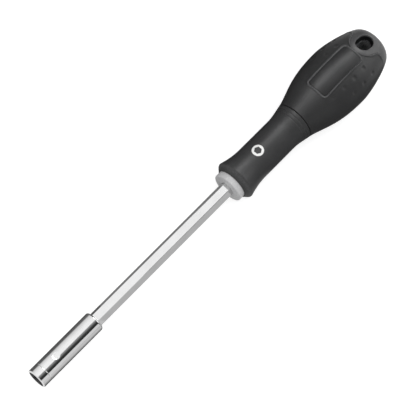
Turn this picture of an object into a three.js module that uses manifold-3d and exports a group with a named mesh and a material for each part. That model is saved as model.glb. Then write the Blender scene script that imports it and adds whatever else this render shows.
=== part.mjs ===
// Bit holder screwdriver: a moulded handle with a steel hexagon bar that carries a magnetic bit socket.
// Millimetres, +Z up. The tool lies along X, its mouth towards -X and its label flats facing +Z and -Z.
// The origin is the point on the tool's axis where a bit seats on the magnet.
import * as THREE from 'three';
import { mergeVertices } from 'three/addons/utils/BufferGeometryUtils.js';
import Module from 'manifold-3d';

const wasm = await Module();
wasm.setup();

// Hexagon drive, shared by the bits, the socket's bore and the bar
const HEX_ACROSS_FLATS = 6.35;
const HEX_CLEARANCE = 0.08;
const BIT_DEPTH = 13;

// Bit socket: a turned sleeve pressed and staked onto the bar
const SOCKET_LENGTH = 37.2;
const SOCKET_WALL = 1.24; // outside the corners of the hexagon bore
const MOUTH_CHAMFER = 0.5;
const MOUTH_LEAD_IN = 0.35; // widening of the bore's corners at the mouth
const REAR_CHAMFER = 0.9;
const LINE_FROM_MOUTH = 4.8; // ring line rolled into the outside, over the retaining ring
const LINE_WIDTH = 0.7;
const LINE_DEPTH = 0.2;
const STAKE_FROM_MOUTH = 12.7; // punched dimples that hold the magnet
const STAKE_DIAMETER = 3.3;
const STAKE_DEPTH = 0.4;
const STAKE_COUNT = 2;

// Magnet and retaining ring inside the socket
const MAGNET_THICKNESS = 4;
const MAGNET_CLEARANCE = 0.25;
const MAGNET_CHAMFER = 0.3;
const RING_WIRE = 0.7;
const RING_GROOVE_DEPTH = 0.45; // beyond the corners of the bore
const RING_GROOVE_WIDTH = 1.1;
const RING_CLEARANCE = 0.12;
const RING_OPENING = THREE.MathUtils.degToRad(50);

// Hexagon bar, from the magnet to its tail inside the handle
const BLADE_LENGTH = 125; // collar's front face to the socket's mouth
const TAIL_PAST_SEAM = 24.6;
const WING_LENGTH = 13; // swaged ears that stop the bar from turning in the handle
const WING_SPAN = 11;
const WING_THICKNESS = 3.2;
const WING_TAPER = 2.5;
const WING_FROM_TAIL = 4;
const MOULD_CLEARANCE = 0.2; // between the bar and the plastics moulded round it

// Front collar
const COLLAR_RADIUS = 7.75;
const COLLAR_REACH = 3; // ahead of the neck's lip
const COLLAR_SEAT = 2.1; // inside the lip
const COLLAR_CHAMFER = 0.4;

// Neck: flared lip, straight grip for the fingertips, flare up to the seam
const NECK_LENGTH = 47; // collar's front face to the seam
const NECK_RADIUS = 8.7;
const NECK_WALL = 2.25;
const NECK_FLARE = 9.5;
const LIP_BEVEL = 2;
const LIP_RISE = 2.35; // lip's crest above the lip's bore
const LIP_CREST = 2.95; // behind the lip's front edge
const LIP_FLARE = 11.8;
const SEAM_RADIUS = 10.1;

// Palm: the bulb from the seam to the butt
const PALM_LENGTH = 57.8;
const PALM_WALL = 2.2;
const BELLY_RADIUS = 16.25;
const BELLY_FROM_BUTT = 26.6;
const SHOULDER_RADIUS = 12.4;
const SHOULDER_FROM_BUTT = 7.1;
const SHOULDER_SLOPE = 0.48;
const FLAT_DEPTH = 0.94; // taken off the round section on the two label sides

// Handles of the outline's curves, as shares of each curve's length and rise
const LIP_CURVE = { out: 0.3, drop: 0.55, back: 0.4 };
const FLARE_CURVE = { out: 0.33, back: 0.36, drop: 0.4 };
const FRONT_CURVE = { out: 0.245, rise: 0.235, back: 0.57 };
const REAR_CURVE = { out: 0.27, back: 0.12 };
const BUTT_CURVE = { out: 0.83, rise: 0.69 };

// Hang hole, and the hard tongue that surrounds it
const HOLE_FROM_BUTT = 9.7;
const HOLE_WIDTH = 7.6;
const HOLE_LENGTH = 9;
const TONGUE_MARGIN = 3.8;
const TONGUE_FILLET = 1.8;
const EDGE_BEHIND_HOLE = 1.9; // rear edge of the soft grip on its sides

// Label windows in the soft grip
const LABEL_LENGTH = 26.7;
const LABEL_WIDTH = 10.9;
const LABEL_CORNER = 1.4;
const LABEL_RECESS = 0.3;
const LABEL_BRIDGE = 1.4; // strip of grip between the window and the tongue

// Grip dimples, in rows beside both labels
const DIMPLE_DIAMETER = 2.6;
const DIMPLE_DEPTH = 0.35;
const DIMPLE_PITCH = 7;
const DIMPLE_ROWS = [
  { angle: 34.5, first: 2.9, count: 4 },
  { angle: 55.5, first: 12.8, count: 3 },
];

// Gap between pieces that meet at a visible joint
const JOINT_GAP = 0.3;

// Facets
const HANDLE_SEGMENTS = 40;
const SOCKET_SEGMENTS = 32;
const OUTLINE_STEPS = 6;
const HALF_ARC_STEPS = 6; // straight runs in each half of an arc
const HALF_WIRE_SIDES = 4; // flats on each half of the ring's wire
const RING_STEPS = 16;
const BALL_SIDES = 8;
const CUT_MARGIN = 1; // how far a cutter runs past what it cuts
const MERGE_TOLERANCE = 1e-5;

const chrome = { color: 0xd5d8dc, roughness: 0.1, metalness: 1 };
const satinChrome = { color: 0xcfd2d6, roughness: 0.2, metalness: 1 };
const nickel = { color: 0x9b9a96, roughness: 0.35, metalness: 1 };
const springSteel = { color: 0x6f7174, roughness: 0.4, metalness: 1 };
const greyPlastic = { color: 0xb9babb, roughness: 0.5, metalness: 0 };
const blackPlastic = { color: 0x3a3b3d, roughness: 0.45, metalness: 0 };
const softBlack = { color: 0x333436, roughness: 0.7, metalness: 0 };

// Places along the tool's axis: the socket from the bit seat, the handle from the collar's front face
const mouth = -BIT_DEPTH;
const socketRear = mouth + SOCKET_LENGTH;
const collarFront = BLADE_LENGTH - BIT_DEPTH;
const collarLength = COLLAR_REACH + COLLAR_SEAT;
const seam = NECK_LENGTH;
const neckEnd = seam - JOINT_GAP / 2;
const palmStart = seam + JOINT_GAP / 2;
const butt = seam + PALM_LENGTH;
const belly = butt - BELLY_FROM_BUTT;
const holeCentre = butt - HOLE_FROM_BUTT;
const palmEdge = holeCentre + EDGE_BEHIND_HOLE;
const tongueRadius = HOLE_WIDTH / 2 + TONGUE_MARGIN;
const labelEnd = holeCentre - tongueRadius - LABEL_BRIDGE;
const labelStart = labelEnd - LABEL_LENGTH;
const barTail = seam + TAIL_PAST_SEAM;
const throughHandle = 2 * (BELLY_RADIUS + CUT_MARGIN); // height of a cutter that runs through along Z

// Radii that fit one another
const boreAcrossFlats = HEX_ACROSS_FLATS + 2 * HEX_CLEARANCE;
const boreCorner = boreAcrossFlats / Math.sqrt(3);
const socketRadius = boreCorner + SOCKET_WALL;
const ringGrooveRadius = boreCorner + RING_GROOVE_DEPTH;
const lipBore = COLLAR_RADIUS + JOINT_GAP;
const lipRadius = lipBore + LIP_RISE;
const neckBore = NECK_RADIUS - NECK_WALL;
const spigotRadius = neckBore - JOINT_GAP;

function toSolid(geometry) {
  geometry.deleteAttribute('normal');
  geometry.deleteAttribute('uv');
  const merged = mergeVertices(geometry, MERGE_TOLERANCE);
  const index = merged.index.array;
  const corners = [];
  for (let i = 0; i < index.length; i += 3) {
    const [a, b, c] = index.slice(i, i + 3);
    if (a !== b && b !== c && c !== a) corners.push(a, b, c);
  }
  const vertProperties = new Float32Array(merged.attributes.position.array);
  const triVerts = new Uint32Array(corners);
  return new wasm.Manifold(new wasm.Mesh({ numProp: 3, vertProperties, triVerts }));
}

function toMesh(name, solid, finish) {
  const { vertProperties, triVerts } = solid.getMesh();
  const geometry = new THREE.BufferGeometry();
  geometry.setAttribute('position', new THREE.BufferAttribute(vertProperties, 3));
  geometry.setIndex(new THREE.BufferAttribute(triVerts, 1));
  geometry.computeVertexNormals();
  const mesh = new THREE.Mesh(geometry, new THREE.MeshStandardMaterial(finish));
  mesh.name = name;
  return mesh;
}

// A profile of [place along X, radius] points, turned about the X axis
function revolvedGeometry(profile, segments) {
  const points = profile.map(([x, radius]) => new THREE.Vector2(radius, x));
  return new THREE.LatheGeometry(points, segments).rotateZ(-Math.PI / 2);
}

function revolve(profile, segments) {
  return toSolid(revolvedGeometry(profile, segments));
}

function disc(from, to, radius, segments) {
  return revolve([[from, 0], [from, radius], [to, radius], [to, 0]], segments);
}

// A hexagon prism along X with two of its flats facing +Z and -Z
function hexPrism(acrossFlats, from, to) {
  const corners = [0, 1, 2, 3, 4, 5].map((i) => {
    const angle = Math.PI / 6 + (i * Math.PI) / 3;
    const radius = acrossFlats / Math.sqrt(3);
    return new THREE.Vector2(radius * Math.cos(angle), radius * Math.sin(angle));
  });
  const settings = { depth: to - from, bevelEnabled: false };
  const prism = new THREE.ExtrudeGeometry(new THREE.Shape(corners), settings);
  return toSolid(prism.rotateY(Math.PI / 2).translate(from, 0, 0));
}

// A plan outline in X and Y, extruded along Z by equal amounts above and below the axis
function prismThroughZ(outline, height) {
  const settings = { depth: height, bevelEnabled: false, curveSegments: HALF_ARC_STEPS };
  return toSolid(new THREE.ExtrudeGeometry(outline, settings).translate(0, 0, -height / 2));
}

// The dish that a ball presses into a surface at the given radius and angle from +Z
function dish(place, radius, angle, diameter, depth) {
  const ball = (diameter ** 2 / 4 + depth ** 2) / (2 * depth);
  const centre = radius + ball - depth;
  const sphere = new THREE.SphereGeometry(ball, BALL_SIDES, BALL_SIDES).rotateX(Math.PI / 2);
  return toSolid(sphere.translate(place, 0, centre).rotateX(-angle));
}

// The handle's outer outline from the lip to the butt, as [place, radius] points
function handleOutline() {
  const crest = COLLAR_REACH + LIP_CREST;
  const neckStart = crest + LIP_FLARE;
  const flareStart = seam - NECK_FLARE;
  const bulbRise = BELLY_RADIUS - SEAM_RADIUS;
  const bulbFront = belly - seam;
  const shoulder = butt - SHOULDER_FROM_BUTT;
  const bulbBack = shoulder - belly;
  const path = new THREE.Path();
  path.moveTo(COLLAR_REACH, lipBore);
  path.lineTo(COLLAR_REACH + LIP_BEVEL, lipBore + LIP_BEVEL);
  path.quadraticCurveTo(COLLAR_REACH + LIP_RISE, lipRadius, crest, lipRadius);
  const lipDrop = lipRadius - NECK_RADIUS;
  path.bezierCurveTo(
    crest + LIP_CURVE.out * LIP_FLARE, lipRadius - LIP_CURVE.drop * lipDrop,
    neckStart - LIP_CURVE.back * LIP_FLARE, NECK_RADIUS,
    neckStart, NECK_RADIUS,
  );
  path.lineTo(flareStart, NECK_RADIUS);
  const neckRise = SEAM_RADIUS - NECK_RADIUS;
  path.bezierCurveTo(
    flareStart + FLARE_CURVE.out * NECK_FLARE, NECK_RADIUS,
    seam - FLARE_CURVE.back * NECK_FLARE, SEAM_RADIUS - FLARE_CURVE.drop * neckRise,
    seam, SEAM_RADIUS,
  );
  path.bezierCurveTo(
    seam + FRONT_CURVE.out * bulbFront, SEAM_RADIUS + FRONT_CURVE.rise * bulbRise,
    belly - FRONT_CURVE.back * bulbFront, BELLY_RADIUS,
    belly, BELLY_RADIUS,
  );
  const runIn = REAR_CURVE.back * bulbBack;
  path.bezierCurveTo(
    belly + REAR_CURVE.out * bulbBack, BELLY_RADIUS,
    shoulder - runIn, SHOULDER_RADIUS + SHOULDER_SLOPE * runIn,
    shoulder, SHOULDER_RADIUS,
  );
  const runOut = BUTT_CURVE.out * SHOULDER_FROM_BUTT;
  path.bezierCurveTo(
    shoulder + runOut, SHOULDER_RADIUS - SHOULDER_SLOPE * runOut,
    butt, BUTT_CURVE.rise * SHOULDER_RADIUS,
    butt, 0,
  );
  return path.getPoints(OUTLINE_STEPS).map((point) => [point.x, point.y]);
}

const outline = handleOutline();

function radiusAt(place) {
  const next = Math.max(1, outline.findIndex(([x]) => x >= place));
  const [x0, r0] = outline[next - 1];
  const [x1, r1] = outline[next];
  return THREE.MathUtils.mapLinear(place, x0, x1, r0, r1);
}

function outlineBetween(from, to) {
  const inner = outline.filter(([x]) => x > from && x < to);
  return [[from, radiusAt(from)], ...inner, [to, radiusAt(to)]];
}

// The label flats fade in behind the seam and out towards the butt
function flatDepthAt(place) {
  const { smoothstep } = THREE.MathUtils;
  return FLAT_DEPTH * smoothstep(place, seam, labelStart) * (1 - smoothstep(place, holeCentre, butt));
}

// The bulb's solid between two places, drawn in by an even inset and flattened on its label sides
function bulb(from, to, inset) {
  const skin = outlineBetween(from, to).map(([x, radius]) => [x, Math.max(0, radius - inset)]);
  const profile = [[from, 0], ...skin, [to, 0]];
  const geometry = revolvedGeometry(profile, HANDLE_SEGMENTS);
  const position = geometry.attributes.position;
  for (let i = 0; i < position.count; i += 1) {
    const place = THREE.MathUtils.clamp(position.getX(i), from, to);
    const limit = Math.max(0, radiusAt(place) - inset - flatDepthAt(place));
    position.setZ(i, THREE.MathUtils.clamp(position.getZ(i), -limit, limit));
  }
  return toSolid(geometry);
}

// Rounded window of the label, drawn in by an inset
function labelOutline(inset) {
  const x0 = labelStart + inset;
  const x1 = labelEnd - inset;
  const y = LABEL_WIDTH / 2 - inset;
  const r = LABEL_CORNER - inset;
  const shape = new THREE.Shape();
  shape.absarc(x1 - r, r - y, r, -Math.PI / 2, 0, false);
  shape.absarc(x1 - r, y - r, r, 0, Math.PI / 2, false);
  shape.absarc(x0 + r, y - r, r, Math.PI / 2, Math.PI, false);
  shape.absarc(x0 + r, r - y, r, Math.PI, 1.5 * Math.PI, false);
  return shape;
}

// Hard tongue round the hang hole, which runs out into the grip's rear edge by a fillet on each side
function tongueOutline(inset) {
  const half = tongueRadius - inset;
  const side = tongueRadius + TONGUE_FILLET;
  const bend = palmEdge - TONGUE_FILLET;
  const fillet = TONGUE_FILLET + inset;
  const rear = palmEdge + inset + CUT_MARGIN;
  const shape = new THREE.Shape();
  shape.moveTo(rear, -side);
  shape.absarc(bend, -side, fillet, 0, Math.PI / 2, false);
  shape.absarc(holeCentre, 0, half, -Math.PI / 2, Math.PI / 2, true);
  shape.absarc(bend, side, fillet, -Math.PI / 2, 0, false);
  shape.lineTo(rear, side);
  return shape;
}

function holeOutline() {
  const radius = HOLE_WIDTH / 2;
  const reach = HOLE_LENGTH / 2 - radius;
  const shape = new THREE.Shape();
  shape.absarc(holeCentre + reach, 0, radius, -Math.PI / 2, Math.PI / 2, false);
  shape.absarc(holeCentre - reach, 0, radius, Math.PI / 2, 1.5 * Math.PI, false);
  return shape;
}

// Plan of the bar's swaged wings, grown by the mould clearance where it makes their pocket
function wingOutline(tail, grow) {
  const end = tail - WING_FROM_TAIL + grow;
  const start = tail - WING_FROM_TAIL - WING_LENGTH - grow;
  const root = HEX_ACROSS_FLATS / 2;
  const tip = WING_SPAN / 2 + grow;
  return new THREE.Shape([
    new THREE.Vector2(start, -root),
    new THREE.Vector2(start + WING_TAPER, -tip),
    new THREE.Vector2(end - WING_TAPER, -tip),
    new THREE.Vector2(end, -root),
    new THREE.Vector2(end, root),
    new THREE.Vector2(end - WING_TAPER, tip),
    new THREE.Vector2(start + WING_TAPER, tip),
    new THREE.Vector2(start, root),
  ]);
}

// The bar's own shape, or the pocket that the plastics leave round it
function barShape(from, tail, grow) {
  const wings = prismThroughZ(wingOutline(tail, grow), WING_THICKNESS + 2 * grow);
  return hexPrism(HEX_ACROSS_FLATS + 2 * grow, from, tail + grow).add(wings);
}

function hexBar() {
  return toMesh('hex_bar', barShape(MAGNET_THICKNESS, collarFront + barTail, 0), satinChrome);
}

function bitSocket() {
  const line = mouth + LINE_FROM_MOUTH;
  const body = revolve([
    [mouth, 0],
    [mouth, socketRadius - MOUTH_CHAMFER],
    [mouth + MOUTH_CHAMFER, socketRadius],
    [line - LINE_WIDTH / 2, socketRadius],
    [line, socketRadius - LINE_DEPTH],
    [line + LINE_WIDTH / 2, socketRadius],
    [socketRear - REAR_CHAMFER, socketRadius],
    [socketRear, socketRadius - REAR_CHAMFER],
    [socketRear, 0],
  ], SOCKET_SEGMENTS);
  const leadIn = boreCorner + MOUTH_LEAD_IN;
  const cone = revolve([
    [mouth - CUT_MARGIN, 0],
    [mouth - CUT_MARGIN, leadIn + CUT_MARGIN],
    [mouth + leadIn, 0],
  ], SOCKET_SEGMENTS);
  const halfGroove = RING_GROOVE_WIDTH / 2;
  const groove = disc(line - halfGroove, line + halfGroove, ringGrooveRadius, SOCKET_SEGMENTS);
  let socket = body
    .subtract(hexPrism(boreAcrossFlats, mouth - CUT_MARGIN, socketRear + CUT_MARGIN))
    .subtract(cone)
    .subtract(groove);
  for (let i = 0; i < STAKE_COUNT; i += 1) {
    const angle = (i * 2 * Math.PI) / STAKE_COUNT;
    const stake = dish(mouth + STAKE_FROM_MOUTH, socketRadius, angle, STAKE_DIAMETER, STAKE_DEPTH);
    socket = socket.subtract(stake);
  }
  return toMesh('bit_socket', socket, chrome);
}

function socketMagnet() {
  const radius = boreAcrossFlats / 2 - MAGNET_CLEARANCE;
  const magnet = revolve([
    [0, 0],
    [0, radius - MAGNET_CHAMFER],
    [MAGNET_CHAMFER, radius],
    [MAGNET_THICKNESS, radius],
    [MAGNET_THICKNESS, 0],
  ], SOCKET_SEGMENTS);
  return toMesh('socket_magnet', magnet, nickel);
}

// A round wire bent to an open ring, which springs out of the way when a bit goes in
function retainingRing() {
  const wire = RING_WIRE / 2;
  const radius = ringGrooveRadius - RING_CLEARANCE - wire;
  const sweep = 2 * Math.PI - RING_OPENING;
  const bends = Array.from({ length: RING_STEPS + 1 }, (_, i) => {
    const angle = RING_OPENING / 2 + (i * sweep) / RING_STEPS;
    return new THREE.Vector3(0, radius * Math.sin(angle), -radius * Math.cos(angle));
  });
  const section = new THREE.Shape().absarc(0, 0, wire, 0, 2 * Math.PI, false);
  const settings = {
    steps: RING_STEPS,
    curveSegments: HALF_WIRE_SIDES,
    extrudePath: new THREE.CatmullRomCurve3(bends),
  };
  const ring = new THREE.ExtrudeGeometry(section, settings).translate(mouth + LINE_FROM_MOUTH, 0, 0);
  return toMesh('retaining_ring', toSolid(ring), springSteel);
}

function frontCollar() {
  const collar = revolve([
    [0, 0],
    [0, COLLAR_RADIUS - COLLAR_CHAMFER],
    [COLLAR_CHAMFER, COLLAR_RADIUS],
    [collarLength, COLLAR_RADIUS],
    [collarLength, 0],
  ], HANDLE_SEGMENTS);
  const hole = hexPrism(HEX_ACROSS_FLATS + 2 * MOULD_CLEARANCE, -CUT_MARGIN, collarLength + CUT_MARGIN);
  return toMesh('front_collar', collar.subtract(hole), greyPlastic);
}

function neckSleeve() {
  const profile = [
    ...outlineBetween(COLLAR_REACH, neckEnd),
    [neckEnd, neckBore],
    [collarLength, neckBore],
    [collarLength, lipBore],
    [COLLAR_REACH, lipBore],
  ];
  return toMesh('neck_sleeve', revolve(profile, HANDLE_SEGMENTS), blackPlastic);
}

function palmGrip() {
  let grip = bulb(palmStart, palmEdge, 0)
    .subtract(bulb(palmStart - CUT_MARGIN, palmEdge + CUT_MARGIN, PALM_WALL))
    .subtract(prismThroughZ(labelOutline(0), throughHandle))
    .subtract(prismThroughZ(tongueOutline(0), throughHandle));
  for (const { angle, first, count } of DIMPLE_ROWS) {
    const turn = THREE.MathUtils.degToRad(angle);
    for (const side of [turn, -turn, Math.PI - turn, Math.PI + turn]) {
      for (let i = 0; i < count; i += 1) {
        const place = labelStart + first + i * DIMPLE_PITCH;
        grip = grip.subtract(dish(place, radiusAt(place), side, DIMPLE_DIAMETER, DIMPLE_DEPTH));
      }
    }
  }
  return toMesh('palm_grip', grip, softBlack);
}

// Hard core: the neck's spigot, the body under the soft grip, and the label pads, tongue and butt that show
function handleCore() {
  const spigot = disc(collarLength, palmStart + CUT_MARGIN, spigotRadius, HANDLE_SEGMENTS);
  const body = bulb(palmStart, palmEdge + CUT_MARGIN, PALM_WALL + JOINT_GAP);
  const cap = bulb(palmEdge + JOINT_GAP, butt, 0);
  const pads = bulb(labelStart, labelEnd, LABEL_RECESS)
    .intersect(prismThroughZ(labelOutline(JOINT_GAP), throughHandle));
  const tongue = bulb(labelEnd, butt, 0).intersect(prismThroughZ(tongueOutline(JOINT_GAP), throughHandle));
  const core = spigot
    .add(body)
    .add(cap)
    .add(pads)
    .add(tongue)
    .subtract(barShape(collarLength - CUT_MARGIN, barTail, MOULD_CLEARANCE))
    .subtract(prismThroughZ(holeOutline(), throughHandle));
  return toMesh('handle_core', core, blackPlastic);
}

const blade = new THREE.Group();
blade.add(bitSocket(), socketMagnet(), retainingRing(), hexBar());

const handle = new THREE.Group();
handle.position.x = collarFront;
handle.add(frontCollar(), neckSleeve(), palmGrip(), handleCore());

const screwdriver = new THREE.Group();
screwdriver.add(blade, handle);

export default screwdriver;
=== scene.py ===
"""Looks of a bit holder screwdriver: soft-grip handle, hexagon bar and magnetic bit socket.

The tool lies along X in metres, its mouth towards -X and its label sides facing +Z and -Z.
Angles round the axis run from +Z towards +Y.
"""

import math

import bmesh
import bpy
import numpy as np
from bpy.props import FloatProperty, FloatVectorProperty, PointerProperty
from mathutils import Matrix, Vector


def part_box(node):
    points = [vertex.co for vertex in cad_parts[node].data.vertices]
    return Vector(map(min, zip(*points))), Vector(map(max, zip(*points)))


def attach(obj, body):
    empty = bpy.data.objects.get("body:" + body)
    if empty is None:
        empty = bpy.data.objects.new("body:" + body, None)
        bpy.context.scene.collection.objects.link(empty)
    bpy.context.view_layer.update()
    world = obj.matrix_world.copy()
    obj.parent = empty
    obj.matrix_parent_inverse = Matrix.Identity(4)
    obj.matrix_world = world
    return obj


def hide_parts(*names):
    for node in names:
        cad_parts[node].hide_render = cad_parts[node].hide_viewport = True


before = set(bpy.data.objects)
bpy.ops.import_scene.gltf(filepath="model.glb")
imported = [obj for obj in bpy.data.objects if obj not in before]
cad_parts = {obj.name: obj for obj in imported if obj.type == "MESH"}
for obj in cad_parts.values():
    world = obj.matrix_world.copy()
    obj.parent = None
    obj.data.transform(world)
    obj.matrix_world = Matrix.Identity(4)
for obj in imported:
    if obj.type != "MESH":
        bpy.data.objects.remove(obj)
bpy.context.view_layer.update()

bl_info = {
    "name": "Bit Holder Screwdriver",
    "version": (1, 0, 0),
    "blender": (4, 5, 0),
    "location": "View3D > Sidebar > Screwdriver",
    "description": "Builds the visible pieces of a bit holder screwdriver and its studio stage",
    "category": "Object",
}

MM = 0.001

# Points closer than this are welded
WELD = 0.002 * MM

# Rounding of both edges at the seam between the neck and the soft grip
SEAM_EDGE = 0.22 * MM

# Handles of the handle outline's curves, as shares of each curve's length and rise
LIP_CURVE = {"out": 0.3, "drop": 0.55, "back": 0.4}
FLARE_CURVE = {"out": 0.33, "back": 0.36, "drop": 0.4}
FRONT_CURVE = {"out": 0.245, "rise": 0.235, "back": 0.57}
REAR_CURVE = {"out": 0.38, "back": 0.12}
BUTT_CURVE = {"out": 0.83, "rise": 0.72}

# Half the floor's sides
FLOOR_REACH = 6

# Studio cards: how far the upright ones stand from the tool, the height of their lower edges over the floor,
# and the height of the overhead ones
CARD_SIDE = 0.3
CARD_FOOT = 0.0006
OVERHEAD = 0.73

# Reaches along X of the floor's shades beside the socket, and of the cards beside the blade and the handle
SOCKET_REACH = (-0.0135, 0.033)
BLADE_REACH = (-0.0135, 0.13)
HANDLE_REACH = (0.13, 0.4)

# Painted shade the floor shows only in reflections beside the tool: reach along X, reach along Y, and
# brightness
FLOOR_PAINTED_SHADES = (
    (SOCKET_REACH, (0, CARD_SIDE), 0.117),
    (SOCKET_REACH, (-0.0087, 0), 0.058),
    (SOCKET_REACH, (-0.0155, -0.0087), 0.396),
    (SOCKET_REACH, (-CARD_SIDE, -0.0155), 0.722),
    ((0.033, 0.118), (0, CARD_SIDE), 0.221),
    ((0.033, 0.137), (-CARD_SIDE, 0), 0.583),
    ((0.118, 0.228), (0, CARD_SIDE), 0.03),
    ((0.137, 0.228), (-CARD_SIDE, 0), 0.14),
)

# The one card that also keeps soft light off the tool
SHADE_CARD = "handle_shade_card"

# The cards: name, reach along X, the card's section across the tool as points of (Y, height over the floor),
# and the brightness of each strip between two points
STUDIO_CARDS = (
    ("overhead_far_card", (-0.5, 0.42),
     ((-0.127, OVERHEAD), (0.42, OVERHEAD), (0.7, OVERHEAD), (1.08, OVERHEAD), (1.9, OVERHEAD)),
     (1.17, 1.08, 0.98, 0.87)),
    ("overhead_near_card", (-0.5, 1.3),
     ((-0.127, OVERHEAD), (-0.248, OVERHEAD), (-0.399, OVERHEAD), (-0.583, OVERHEAD), (-1.29, OVERHEAD)),
     (0.384, 0.221, 0.087, 0.035)),
    ("socket_far_card", BLADE_REACH,
     ((CARD_SIDE, 0.115), (CARD_SIDE, 0.055), (CARD_SIDE, CARD_FOOT)), (0.478, 0.117)),
    ("socket_near_card", BLADE_REACH, ((-CARD_SIDE, 0.169), (-CARD_SIDE, CARD_FOOT)), (0.85,)),
    ("handle_strip_card", (0.38, 1.3), ((0.11, 0.72), (0.36, 0.72)), (7,)),
    ("handle_low_strip_card", (0.157, 0.2), ((0.013, 0.1), (0.045, 0.1)), (7,)),
    ("handle_near_card", HANDLE_REACH, ((-CARD_SIDE, 0.2), (-CARD_SIDE, CARD_FOOT)), (0.1,)),
    ("handle_far_card", HANDLE_REACH, ((CARD_SIDE, 0.2), (CARD_SIDE, CARD_FOOT)), (0.03,)),
    ("handle_far_card_middle", (0.27, 1.3), ((CARD_SIDE, 0.2), (0.36, 0.46)), (0.03,)),
    ("handle_far_card_top", (0.345, 1.3), ((0.36, 0.46), (0.42, 0.72)), (0.03,)),
    (SHADE_CARD, (0.14, 0.42), ((0.1, 0.2), (0.1, CARD_FOOT)), (0.15,)),
)


def place(node, end):
    """Where a node of the frame starts (end 0) or stops (end 1) along the tool's axis."""
    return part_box(node)[end].x


def length(name, description, default):
    return FloatProperty(name=name, description=description, default=default, unit="LENGTH", precision=5)


def share(name, description, default):
    return FloatProperty(name=name, description=description, default=default, min=0, max=1, subtype="FACTOR")


def colour(name, description, default):
    return FloatVectorProperty(
        name=name, description=description, default=default, min=0, max=1, subtype="COLOR")


def point(name, description, default):
    return FloatVectorProperty(name=name, description=description, default=default, subtype="TRANSLATION")


def power(name, description, default):
    return FloatProperty(name=name, description=description, default=default, unit="POWER")


class BladeSizes(bpy.types.PropertyGroup):
    """Sizes of the bit socket, what it holds, and the bar"""

    bar_flats: length("Bar Across Flats", "Hexagon bar across its flats", 6.35 * MM)
    bar_corner: length("Bar Corner Flattening", "Amount rounded off the bar's corners", 0.04 * MM)
    bore_flats: length("Bore Across Flats", "Hexagon bore across its flats", 6.51 * MM)
    socket_radius: length("Socket Radius", "Outside of the bit socket", 5.0 * MM)
    mouth_chamfer: length("Mouth Chamfer", "Bevel on the outside of the mouth", 0.3 * MM)
    lead_in: length("Lead-in", "Widening of the bore's corners at the mouth", 0.45 * MM)
    rear_chamfer: length("Rear Chamfer", "Bevel at the socket's rear", 0.55 * MM)
    line_from_mouth: length("Line From Mouth", "Rolled ring line, measured from the mouth", 4.8 * MM)
    line_width: length("Line Width", "Width of the rolled ring line", 0.45 * MM)
    line_depth: length("Line Depth", "Depth of the rolled ring line", 0.06 * MM)
    groove_depth: length("Ring Groove Depth", "Ring's groove beyond the bore's corners", 0.45 * MM)
    groove_width: length("Ring Groove Width", "Width of the retaining ring's groove", 1.1 * MM)
    stake_from_mouth: length("Stake From Mouth", "Punched dimple, measured from the mouth", 12.7 * MM)
    stake_diameter: length("Stake Diameter", "Width of the punched dimple", 3.3 * MM)
    stake_depth: length("Stake Depth", "Depth of the punched dimple", 0.14 * MM)
    wire: length("Ring Wire", "Wire of the retaining ring", 0.7 * MM)
    ring_opening: FloatProperty(
        name="Ring Opening", description="Gap in the ring", default=math.radians(50), subtype="ANGLE")
    magnet_chamfer: length("Magnet Chamfer", "Bevel on the magnet's front", 0.3 * MM)
    wing_span: length("Wing Span", "Swaged wings on the bar's tail", 11 * MM)
    wing_thickness: length("Wing Thickness", "Thickness of the swaged wings", 3.2 * MM)
    wing_length: length("Wing Length", "Length of the swaged wings", 13 * MM)
    wing_taper: length("Wing Taper", "Run-out at each end of the wings", 2.5 * MM)
    wing_from_tail: length("Wing From Tail", "Plain bar behind the wings", 4 * MM)


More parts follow.
